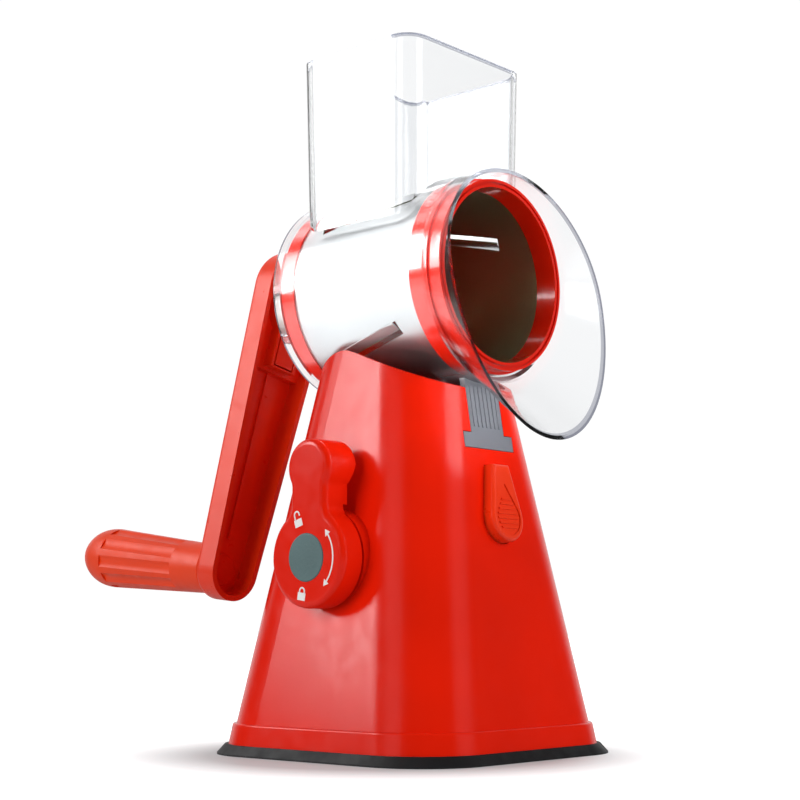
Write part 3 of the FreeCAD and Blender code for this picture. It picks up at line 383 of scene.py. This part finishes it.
# %% Finishes on the frame's parts
FINISHES = {
    "body_shell": gloss_red, "suction_lever": gloss_red,
    "release_button": satin_red, "drum_front_ring": ring_red, "drum_back": ring_red,
    "crank_arm": satin_red, "grip": grip_red,
    "lever_cap": cap_grey, "suction_pad": rubber,
    "clear_housing": clear, "drum_shell": drum_steel,
    "base_plate": acetal, "pull_disc": acetal, "suction_rod": acetal, "lever_shaft": acetal,
    "button_retainer": acetal, "drive_shaft": acetal, "grip_axle": satin_red,
    "base_screws": zinc, "rod_pin": zinc, "lever_screw": zinc, "button_spring": zinc,
    "retainer_screws": zinc, "crank_screw": zinc,
}
for node, finish in FINISHES.items():
    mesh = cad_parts[node].data
    mesh.materials.clear()
    mesh.materials.append(finish)
print(len(FINISHES), "parts finished")

# %% [markdown]
# ## Print on the lever
# The lever's front carries white pad print. Signs that need no words show which
# way it turns: a curved arrow with two heads, an open lock above and a closed lock
# below. Each is a film of ink a tenth of a millimetre thick, so that it catches light.
# Shapes are drawn as outlines first, to the right and up from the lever's axis.

# %% Ink and outlines
INK = 0.12 * MM
INK_SUNK = 0.02 * MM           # so that the film has no gap under it
ink_white = moulded("white_pad_print", (0.86, 0.84, 0.82), 0.5, 1200.0, 0.00001)


def arc_outline(radius, width, start, end, steps=24):
    """The outline of a band along an arc, as (right, up) points; angles in degrees."""
    turns = [math.radians(start + (end - start) * i / steps) for i in range(steps + 1)]
    outer = radius + width / 2
    inner = radius - width / 2
    return ([(outer * math.cos(t), outer * math.sin(t)) for t in turns]
            + [(inner * math.cos(t), inner * math.sin(t)) for t in reversed(turns)])


def rectangle(left, right, bottom, top):
    """The outline of an upright rectangle."""
    return [(left, bottom), (right, bottom), (right, top), (left, top)]


def moved(outline, right, up, turn=0.0):
    """An outline turned by degrees about its origin, then moved."""
    c, s = math.cos(math.radians(turn)), math.sin(math.radians(turn))
    return [(right + c * x - s * y, up + s * x + c * y) for x, y in outline]


def arrow_head(radius, angle, direction, size):
    """A triangle at an arc's end that points along the arc."""
    half = size * 0.62
    t = math.radians(angle)
    return moved([(-half, 0.0), (half, 0.0), (0.0, direction * size)],
                 radius * math.cos(t), radius * math.sin(t), angle)


def lock_outlines(right, up, turn, lift, size=1.35 * MM):
    """A padlock in units of size; an open one's shackle is lifted on one side."""
    leg_low, leg_high = 0.8, 1.4 + lift
    inner, outer = 0.725, 1.175
    bow = arc_outline((inner + outer) / 2, outer - inner, 0, 180, 12)
    shapes = [rectangle(-1.5, 1.5, -1.3, 0.9),
              moved(bow, 0.0, 1.35 + lift),
              rectangle(-outer, -inner, leg_low, leg_high),
              rectangle(inner, outer, leg_low + lift, leg_high)]
    return [moved([(x * size, y * size) for x, y in shape], right, up, turn)
            for shape in shapes]


# %% Print on the lever
def printed(name, outlines, surface_x, axis_z):
    """Ink films on a face that looks along -X, one thin closed plate per outline."""
    bm = bmesh.new()
    for outline in outlines:
        ends = []
        for x in (surface_x - INK, surface_x + INK_SUNK):
            ends.append([bm.verts.new((x, -right, axis_z + up)) for right, up in outline])
        front, back = ends
        bm.faces.new(front)
        bm.faces.new(back[::-1])
        count = len(front)
        for i in range(count):
            j = (i + 1) % count
            bm.faces.new((front[i], back[i], back[j], front[j]))
    bmesh.ops.recalc_face_normals(bm, faces=bm.faces)
    mesh = bpy.data.meshes.new(name)
    bm.to_mesh(mesh)
    bm.free()
    mesh.materials.append(ink_white)
    return in_scene(name, mesh)


ARROW_RADIUS = 14.4 * MM
ARROW_WIDTH = 0.65 * MM
HEAD_SIZE = 2.4 * MM
LOW_END, HIGH_END = -40, 36    # where the arrow ends, in degrees above level
arrow = [arc_outline(ARROW_RADIUS, ARROW_WIDTH, LOW_END, HIGH_END),
         arrow_head(ARROW_RADIUS, HIGH_END, 1, HEAD_SIZE),
         arrow_head(ARROW_RADIUS, LOW_END, -1, HEAD_SIZE)]
locks = (lock_outlines(-4.2 * MM, 13.6 * MM, 17, 0.9)
         + lock_outlines(-2.2 * MM, -14.6 * MM, -9, 0.0))
lever_print = printed("lever_print", arrow + locks, LEVER_FRONT_X, LEVER_AXIS_Z)
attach(lever_print, "lever")
print("lever print:", len(lever_print.data.polygons), "faces")

# %% [markdown]
# ## Ribs on the tongue
# The housing's tongue has fine upright ribs where a thumb pulls it forwards. They
# repeat at one pitch, so Geometry Nodes lays them out: a line of points, a rounded bar
# on each point, then real mesh with its material.

# %% Ribs by Geometry Nodes
RIBS = {"Count": 7, "Pitch": 2.6 * MM, "Width": 0.8 * MM, "Length": 17 * MM}
RIB_SIDES = 16
RIB_MIDDLE_Z = 137.5 * MM


def rib_tree(material):
    """A node tree that sets bars side by side along X."""
    tree = bpy.data.node_groups.new("tongue_ribs", "GeometryNodeTree")
    face = tree.interface
    face.new_socket("Geometry", in_out="INPUT", socket_type="NodeSocketGeometry")
    for label, kind in (("Count", "NodeSocketInt"), ("Pitch", "NodeSocketFloat"),
                        ("Width", "NodeSocketFloat"), ("Length", "NodeSocketFloat")):
        face.new_socket(label, in_out="INPUT", socket_type=kind)
    face.new_socket("Geometry", in_out="OUTPUT", socket_type="NodeSocketGeometry")
    given = tree.nodes.new("NodeGroupInput")
    result = tree.nodes.new("NodeGroupOutput")
    pitch = tree.nodes.new("ShaderNodeCombineXYZ")
    tree.links.new(given.outputs["Pitch"], pitch.inputs["X"])
    line = tree.nodes.new("GeometryNodeMeshLine")
    tree.links.new(given.outputs["Count"], line.inputs["Count"])
    tree.links.new(pitch.outputs["Vector"], line.inputs["Offset"])
    bar = tree.nodes.new("GeometryNodeMeshCylinder")
    bar.inputs["Vertices"].default_value = RIB_SIDES
    radius = arith(tree, "MULTIPLY", given.outputs["Width"], 0.5)
    tree.links.new(radius, bar.inputs["Radius"])
    tree.links.new(given.outputs["Length"], bar.inputs["Depth"])
    bars = tree.nodes.new("GeometryNodeInstanceOnPoints")
    tree.links.new(line.outputs["Mesh"], bars.inputs["Points"])
    tree.links.new(bar.outputs["Mesh"], bars.inputs["Instance"])
    real = tree.nodes.new("GeometryNodeRealizeInstances")
    tree.links.new(bars.outputs["Instances"], real.inputs["Geometry"])
    painted = tree.nodes.new("GeometryNodeSetMaterial")
    painted.inputs["Material"].default_value = material
    tree.links.new(real.outputs["Geometry"], painted.inputs["Geometry"])
    tree.links.new(painted.outputs["Geometry"], result.inputs["Geometry"])
    return tree


def grown(name, tree, values, place):
    """Runs a node tree with named values and keeps its result as a mesh, moved to place."""
    seed = in_scene(name + "_seed", bpy.data.meshes.new(name + "_seed"))
    modifier = seed.modifiers.new("nodes", "NODES")
    modifier.node_group = tree
    for item in tree.interface.items_tree:
        if item.name in values:
            modifier[item.identifier] = values[item.name]
    seen = seed.evaluated_get(bpy.context.evaluated_depsgraph_get())
    mesh = bpy.data.meshes.new_from_object(seen)
    mesh.name = name
    bpy.data.objects.remove(seed)
    mesh.transform(place)
    return in_scene(name, mesh)


rib_front_y = -(TOWER_FRONT - TOWER_SLOPE * (RIB_MIDDLE_Z - TOWER_HEIGHT))
first_rib_x = -(RIBS["Count"] - 1) / 2 * RIBS["Pitch"]
wall_lean = math.atan(TOWER_SLOPE)
rib_place = (Matrix.Translation((first_rib_x, rib_front_y, RIB_MIDDLE_Z))
             @ Matrix.Rotation(-wall_lean, 4, "X"))
tongue_ribs = grown("tongue_ribs", rib_tree(clear), RIBS, rib_place)
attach(tongue_ribs, "housing")
print("tongue ribs:", len(tongue_ribs.data.polygons), "faces")

# %% [markdown]
# ## The button's spring
# The release button is pushed back out by a small coil spring on a bracket. The
# bracket's end of the spring stays still and the other end follows the button, so
# the coils close up. The spring here is a copy of the frame's, put on the tower in
# place of the frame's own.

# %% Spring copied onto the tower
def copy_of(node, name):
    """A copy of a frame part's mesh as a new object, with its split corners joined."""
    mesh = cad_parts[node].data.copy()
    mesh.name = name
    bm = bmesh.new()
    bm.from_mesh(mesh)
    bmesh.ops.remove_doubles(bm, verts=bm.verts, dist=0.001 * MM)
    bm.to_mesh(mesh)
    bm.free()
    return in_scene(name, mesh)


# The button moves square to the tower's front wall.
spring = copy_of("button_spring", "closing_spring")
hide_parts("button_spring")
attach(spring, "tower")
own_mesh(spring)

# %% [markdown]
# ## Floor
# The object stands on a white sweep that is lit and also glows, so that it burns out to
# plain white a little way from the foot. Close to the foot the glow is weaker, which
# paints a soft contact shadow. That glow is for the camera, straight on or through the
# clear plastic. To every other ray it is faint, so that it doesn't light the red from below.

# %% Floor
# Painted contact shadow: the floor's glow is weaker around this middle, near the foot.
SHADOW_MIDDLE = (-0.016, 0.0, 0.0)
SHADOW_START, SHADOW_END = 0.070, 0.125    # metres from its middle
SHADOW_GLOW, WHITE_GLOW = 0.15, 1.05
LEAST_GLOW = 0.16              # also what every other ray sees
PAPER = (0.40, 0.42, 0.43)


def seen_directly(tree, rays):
    """1 for rays from the camera, or through the clear plastic, and 0 for the rest."""
    return arith(tree, "MAXIMUM", rays.outputs["Is Camera Ray"],
                 rays.outputs["Is Transmission Ray"])


def make_floor(half_size):
    """A square of white paper that glows, with a painted contact shadow where it glows less
    close to the object's foot.
    """
    mesh = bpy.data.meshes.new("floor")
    corners = rectangle(-half_size, half_size, -half_size, half_size)
    mesh.from_pydata([(x, y, 0) for x, y in corners], [], [(0, 1, 2, 3)])
    material, tree, shader = new_finish("white_sweep", PAPER, 0.6)
    away = where(tree, "LENGTH", where(tree, "SUBTRACT", object_place(tree), SHADOW_MIDDLE))
    glow = mapped(tree, away, SHADOW_START, SHADOW_END, SHADOW_GLOW, WHITE_GLOW)
    rays = tree.nodes.new("ShaderNodeLightPath")
    seen = arith(tree, "MULTIPLY", glow, seen_directly(tree, rays))
    strength = arith(tree, "MAXIMUM", seen, LEAST_GLOW)
    shader.inputs["Emission Color"].default_value = (1, 1, 1, 1)
    tree.links.new(strength, shader.inputs["Emission Strength"])
    tree.links.new(tint(tree, noise(tree, 3.0), (0.39, 0.41, 0.42), (0.41, 0.43, 0.44)),
                   shader.inputs["Base Color"])
    mesh.materials.append(material)
    return in_scene("floor", mesh)


make_floor(6.0)
print("floor laid")

# %% [markdown]
# ## Surroundings
# The camera sees a plain white background, also through the clear plastic. What lights
# the object, and what its faces mirror, is different: white paper beyond it, which
# brightens its outlines, and a dark room on the camera's side, which keeps the red
# deep.

# %% World
TO_PAPER = (0.72, 0.64, 0.27)  # from the camera, past the object
PAPER_START, PAPER_FULL = 0.5, 0.9         # how near to that way the paper lies


def make_world(seen, ahead, behind):
    """White to the camera. What it lights gets a bright far side and a dim near side."""
    world = bpy.data.worlds.new("tent")
    world.use_nodes = True
    tree = world.node_tree
    direction = tree.nodes.new("ShaderNodeTexCoord").outputs["Generated"]
    toward = where(tree, "DOT_PRODUCT", direction, TO_PAPER)
    light = mapped(tree, toward, PAPER_START, PAPER_FULL, behind, ahead)
    light.node.interpolation_type = "SMOOTHSTEP"
    lighting = tree.nodes["Background"]
    tree.links.new(light, lighting.inputs["Strength"])
    backdrop = tree.nodes.new("ShaderNodeBackground")
    backdrop.inputs["Strength"].default_value = seen
    for node in (lighting, backdrop):
        node.inputs["Color"].default_value = (1, 1, 1, 1)
    rays = tree.nodes.new("ShaderNodeLightPath")
    unmirrored = arith(tree, "LESS_THAN", rays.outputs["Glossy Depth"], 0.5)
    direct = arith(tree, "MULTIPLY", seen_directly(tree, rays), unmirrored)
    switched(tree, direct, lighting.outputs["Background"], backdrop.outputs["Background"],
             tree.nodes["World Output"])
    bpy.context.scene.world = world


make_world(1.02, 0.85, 0.07)
print("world made")

# %% [markdown]
# ## Lamps
# Two softboxes on the crank's side are there only to be mirrored: one draws the pale
# bands on the tower's side, and both draw the glare on the drum. Three more are only
# felt: they light the colours and can't be seen in them.

# %% Soft lamps
MIDDLE = (0, 0, 0.14)


def soft_lamp(name, place, size, power, mirrored):
    """A rectangular area lamp: either mirrored in glossy faces, or felt by matt ones."""
    light = bpy.data.lights.new(name, "AREA")
    light.shape = "RECTANGLE"
    light.size, light.size_y = size
    light.energy = power
    lamp = in_scene(name, light)
    lamp.location = place
    lamp.rotation_euler = (Vector(MIDDLE) - Vector(place)).to_track_quat("-Z", "Y").to_euler()
    lamp.visible_glossy = mirrored
    lamp.visible_diffuse = not mirrored


soft_lamp("left_softbox", (-1.2, 1.05, 0.79), (0.34, 0.85), 11, mirrored=True)
soft_lamp("upper_softbox", (-0.80, 1.06, 0.84), (0.85, 0.6), 5.0, mirrored=True)
soft_lamp("left_key", (-1.5, 0.1, 0.6), (0.8, 0.8), 14, mirrored=False)
soft_lamp("front_key", (0.6, -1.5, 0.6), (0.9, 1.2), 19, mirrored=False)
soft_lamp("top_tent", (-0.2, 0.5, 1.4), (1.0, 1.0), 6, mirrored=False)
print("lamps set")

# %% [markdown]
# ## Camera
# A portrait lens from a little above the table, looking slightly up. The clear
# housing needs many bounces to be seen through.

# %% Camera
LOOK_UP = 7.94                 # degrees
LOOK_RIGHT = 48.27
BOUNCES = 24
camera_data = bpy.data.cameras.new("view")
camera_data.sensor_width = 36.0
camera_data.lens = 72.8
camera = in_scene("view", camera_data)
camera.location = (-0.5030, -0.4414, 0.0508)
camera.rotation_euler = (math.radians(90 + LOOK_UP), 0, math.radians(-LOOK_RIGHT))
bpy.context.scene.camera = camera
bpy.context.scene.view_settings.view_transform = "Standard"
bpy.context.scene.cycles.max_bounces = BOUNCES
bpy.context.scene.cycles.transmission_bounces = BOUNCES
print("camera set")
